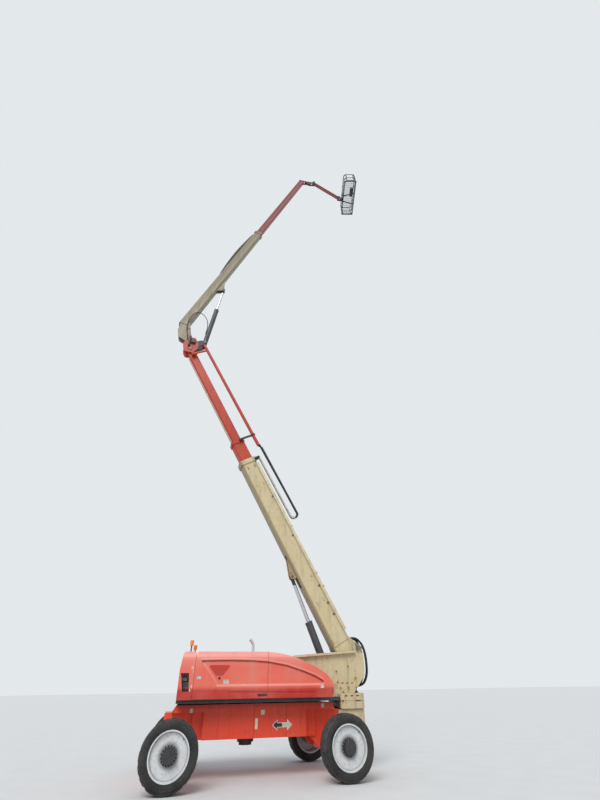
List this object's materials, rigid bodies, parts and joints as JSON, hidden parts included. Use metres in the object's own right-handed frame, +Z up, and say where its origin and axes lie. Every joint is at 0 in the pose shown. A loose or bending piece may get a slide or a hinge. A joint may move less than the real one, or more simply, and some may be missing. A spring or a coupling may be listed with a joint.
{
  "type": "articulating boom lift",
  "caption": "Self-propelled articulating boom lift with raised telescopic tower and main boom, jib, work platform, hinged hoods, extending axles and steered wheels",
  "frame": {"origin": "on the ground under the slewing axis, midway between the axles, at the centre of the wheels' contact rectangle", "axes": "+Z up; +X toward the counterweight end, away from the cab-less control end; -Y toward the side with the ground controls"},
  "size_m": [10.3314, 3.89, 32.8364],
  "materials": {
    "orange_paint": "faded gloss",
    "salmon_shell": "faded gloss",
    "cream_paint": "weathered gloss",
    "red_paint": "weathered gloss",
    "dark_paint": "satin",
    "grey_paint": "satin",
    "wheel_paint": "satin",
    "tyre_rubber": "dusty matte",
    "bright_rod": "polished",
    "amber_lamp": "gloss",
    "black_rubber": "matte"
  },
  "bodies": {
    "chassis": {"chassis_frame": "orange_paint", "swivel_guard": "dark_paint", "end_weights": "cream_paint", "slew_ring": "dark_paint"},
    "axle_part_front_near": {"axle_front_near": "orange_paint"},
    "knuckle_part_front_near": {"knuckle_front_near": "dark_paint"},
    "wheel_front_near": {"rim_front_near": "wheel_paint", "tyre_front_near": "tyre_rubber"},
    "axle_part_front_far": {"axle_front_far": "orange_paint"},
    "knuckle_part_front_far": {"knuckle_front_far": "dark_paint"},
    "wheel_front_far": {"rim_front_far": "wheel_paint", "tyre_front_far": "tyre_rubber"},
    "axle_part_rear_near": {"axle_rear_near": "orange_paint"},
    "knuckle_part_rear_near": {"knuckle_rear_near": "dark_paint"},
    "wheel_rear_near": {"rim_rear_near": "wheel_paint", "tyre_rear_near": "tyre_rubber"},
    "axle_part_rear_far": {"axle_rear_far": "orange_paint"},
    "knuckle_part_rear_far": {"knuckle_rear_far": "dark_paint"},
    "wheel_rear_far": {"rim_rear_far": "wheel_paint", "tyre_rear_far": "tyre_rubber"},
    "turntable": {"turntable_deck": "dark_paint", "tail_frame": "cream_paint", "tail_weight": "cream_paint", "engine_block": "dark_paint", "exhaust_pipe": "bright_rod", "beacon_posts": "dark_paint", "beacon_lamps": "amber_lamp", "end_sections": "salmon_shell", "control_panel": "dark_paint", "tail_hoses": "black_rubber"},
    "near_hood": {"hood_near": "salmon_shell"},
    "far_hood": {"hood_far": "salmon_shell"},
    "tower_base_part": {"tower_base": "cream_paint", "hose_chain": "black_rubber"},
    "tower_middle_part": {"tower_middle": "orange_paint", "hose_guide": "dark_paint"},
    "tower_fly_part": {"tower_fly": "orange_paint", "hose_tube": "orange_paint", "tower_lines": "bright_rod"},
    "tower_barrel": {"tower_cylinder_barrel": "grey_paint"},
    "tower_rod": {"tower_cylinder_rod": "bright_rod"},
    "upright": {"upright_frame": "orange_paint", "upright_fittings": "dark_paint", "pivot_hose": "black_rubber"},
    "main_base_part": {"main_base": "cream_paint", "main_hose_arch": "black_rubber"},
    "main_fly_part": {"main_fly": "red_paint"},
    "main_barrel": {"main_cylinder_barrel": "grey_paint"},
    "main_rod": {"main_cylinder_rod": "bright_rod"},
    "jib_mount_part": {"jib_mount": "dark_paint"},
    "jib_swing_part": {"swing_bracket": "dark_paint"},
    "jib_lower_part": {"jib_bar_lower": "red_paint"},
    "jib_upper_part": {"jib_bar_upper": "red_paint"},
    "jib_head_part": {"jib_head": "dark_paint"},
    "platform": {"platform_frame": "dark_paint", "platform_mount": "dark_paint", "control_box": "dark_paint"},
    "gate": {"platform_gate": "dark_paint"}
  },
  "joints": [
    {"name": "extend_front_near", "type": "slide", "parent": "chassis", "child": "axle_part_front_near", "axis": [0, -1, 0], "range_m": [-0.66, 0]},
    {"name": "steer_front_near", "type": "hinge", "parent": "axle_part_front_near", "child": "knuckle_part_front_near", "pos_m": [-1.905, -1.33, 0.578], "axis": [0, 0, 1], "range_deg": [-25, 25]},
    {"name": "roll_front_near", "type": "hinge", "parent": "knuckle_part_front_near", "child": "wheel_front_near", "pos_m": [-1.905, -1.68, 0.578], "axis": [0, 1, 0], "continuous": true},
    {"name": "extend_front_far", "type": "slide", "parent": "chassis", "child": "axle_part_front_far", "axis": [0, 1, 0], "range_m": [-0.66, 0]},
    {"name": "steer_front_far", "type": "hinge", "parent": "axle_part_front_far", "child": "knuckle_part_front_far", "pos_m": [-1.905, 1.33, 0.578], "axis": [0, 0, 1], "range_deg": [-25, 25]},
    {"name": "roll_front_far", "type": "hinge", "parent": "knuckle_part_front_far", "child": "wheel_front_far", "pos_m": [-1.905, 1.68, 0.578], "axis": [0, 1, 0], "continuous": true},
    {"name": "extend_rear_near", "type": "slide", "parent": "chassis", "child": "axle_part_rear_near", "axis": [0, -1, 0], "range_m": [-0.66, 0]},
    {"name": "steer_rear_near", "type": "hinge", "parent": "axle_part_rear_near", "child": "knuckle_part_rear_near", "pos_m": [1.905, -1.33, 0.578], "axis": [0, 0, 1], "range_deg": [-25, 25]},
    {"name": "roll_rear_near", "type": "hinge", "parent": "knuckle_part_rear_near", "child": "wheel_rear_near", "pos_m": [1.905, -1.68, 0.578], "axis": [0, 1, 0], "continuous": true},
    {"name": "extend_rear_far", "type": "slide", "parent": "chassis", "child": "axle_part_rear_far", "axis": [0, 1, 0], "range_m": [-0.66, 0]},
    {"name": "steer_rear_far", "type": "hinge", "parent": "axle_part_rear_far", "child": "knuckle_part_rear_far", "pos_m": [1.905, 1.33, 0.578], "axis": [0, 0, 1], "range_deg": [-25, 25]},
    {"name": "roll_rear_far", "type": "hinge", "parent": "knuckle_part_rear_far", "child": "wheel_rear_far", "pos_m": [1.905, 1.68, 0.578], "axis": [0, 1, 0], "continuous": true},
    {"name": "slew", "type": "hinge", "parent": "chassis", "child": "turntable", "pos_m": [0, 0, 1.372], "axis": [0, 0, 1], "continuous": true},
    {"name": "hood_near_hinge", "type": "hinge", "parent": "turntable", "child": "near_hood", "pos_m": [0, -0.425, 2.386], "axis": [-1, 0, 0], "range_deg": [0, 60]},
    {"name": "hood_far_hinge", "type": "hinge", "parent": "turntable", "child": "far_hood", "pos_m": [0, 0.425, 2.386], "axis": [1, 0, 0], "range_deg": [0, 60]},
    {"name": "tower_lift", "type": "hinge", "parent": "turntable", "child": "tower_base_part", "pos_m": [2.88, 0, 2.52], "axis": [0, 1, 0], "range_deg": [-64.8, 7.2], "deforming": ["tail_hoses"]},
    {"name": "tower_middle_slide", "type": "slide", "parent": "tower_base_part", "child": "tower_middle_part", "axis": [-0.4879, 0, 0.8729], "range_m": [-0.7, 4]},
    {"name": "tower_fly_slide", "type": "slide", "parent": "tower_middle_part", "child": "tower_fly_part", "axis": [-0.4879, 0, 0.8729], "range_m": [-4, 0], "deforming": ["hose_chain"]},
    {"name": "tower_barrel_swing", "type": "hinge", "parent": "turntable", "child": "tower_barrel", "pos_m": [2.18, 0, 1.665], "axis": [0, 1, 0], "range_deg": [-68.4, 8]},
    {"name": "tower_rod_slide", "type": "slide", "parent": "tower_barrel", "child": "tower_rod", "axis": [-0.391, 0, 0.9204], "range_m": [-1.188, 0.141]},
    {"name": "upright_level", "type": "hinge", "parent": "tower_fly_part", "child": "upright", "pos_m": [-3.44982, 0, 13.21046], "axis": [0, 1, 0], "range_deg": [-7.2, 64.8]},
    {"name": "main_lift", "type": "hinge", "parent": "upright", "child": "main_base_part", "pos_m": [-3.76982, 0, 14.45046], "axis": [0, -1, 0], "range_deg": [-69.9, 3.1], "deforming": ["pivot_hose"]},
    {"name": "main_fly_slide", "type": "slide", "parent": "main_base_part", "child": "main_fly_part", "axis": [0.3107, 0, 0.9505], "range_m": [-8.6, 0]},
    {"name": "main_barrel_swing", "type": "hinge", "parent": "upright", "child": "main_barrel", "pos_m": [-2.93182, 0, 13.76046], "axis": [0, -1, 0], "range_deg": [-71, 3.6]},
    {"name": "main_rod_slide", "type": "slide", "parent": "main_barrel", "child": "main_rod", "axis": [0.1031, 0, 0.9947], "range_m": [-1.253, 0.065]},
    {"name": "jib_level", "type": "hinge", "parent": "main_fly_part", "child": "jib_mount_part", "pos_m": [2.10041, 0, 32.41045], "axis": [0, -1, 0], "range_deg": [-3.1, 69.9]},
    {"name": "jib_swing", "type": "hinge", "parent": "jib_mount_part", "child": "jib_swing_part", "pos_m": [2.43041, 0, 32.41045], "axis": [0, 0, 1], "range_deg": [-62.5, 62.5]},
    {"name": "jib_lift", "type": "hinge", "parent": "jib_swing_part", "child": "jib_lower_part", "pos_m": [2.74041, 0, 32.51045], "axis": [0, 1, 0], "range_deg": [-92, 38]},
    {"name": "jib_upper_follow", "type": "hinge", "parent": "jib_swing_part", "child": "jib_upper_part", "pos_m": [2.78741, 0, 32.77645], "axis": [0, 1, 0], "range_deg": [-92, 38]},
    {"name": "jib_head_level", "type": "hinge", "parent": "jib_lower_part", "child": "jib_head_part", "pos_m": [4.62199, 0, 31.09257], "axis": [0, 1, 0], "range_deg": [-38, 92]},
    {"name": "platform_rotate", "type": "hinge", "parent": "jib_head_part", "child": "platform", "pos_m": [4.87199, 0, 31.09257], "axis": [0, 0, -1], "range_deg": [-90, 76.5]},
    {"name": "gate_hinge", "type": "hinge", "parent": "platform", "child": "gate", "pos_m": [4.92299, -1.27721, 31.82757], "axis": [0, 0, 1], "range_deg": [0, 90]}
  ],
  "couplings": [
    {"joint": "steer_front_far", "follows": "steer_front_near", "ratio": 1},
    {"joint": "steer_rear_far", "follows": "steer_rear_near", "ratio": 1},
    {"joint": "tower_barrel_swing", "follows": "tower_lift", "ratio": 1.048},
    {"joint": "tower_rod_slide", "follows": "tower_lift", "m_per_rad": 1.0416},
    {"joint": "upright_level", "follows": "tower_lift", "ratio": -1},
    {"joint": "main_barrel_swing", "follows": "main_lift", "ratio": 1.0092},
    {"joint": "main_rod_slide", "follows": "main_lift", "m_per_rad": 1.0189},
    {"joint": "jib_level", "follows": "main_lift", "ratio": -1},
    {"joint": "jib_upper_follow", "follows": "jib_lift", "ratio": 1},
    {"joint": "jib_head_level", "follows": "jib_lift", "ratio": -1}
  ]
}
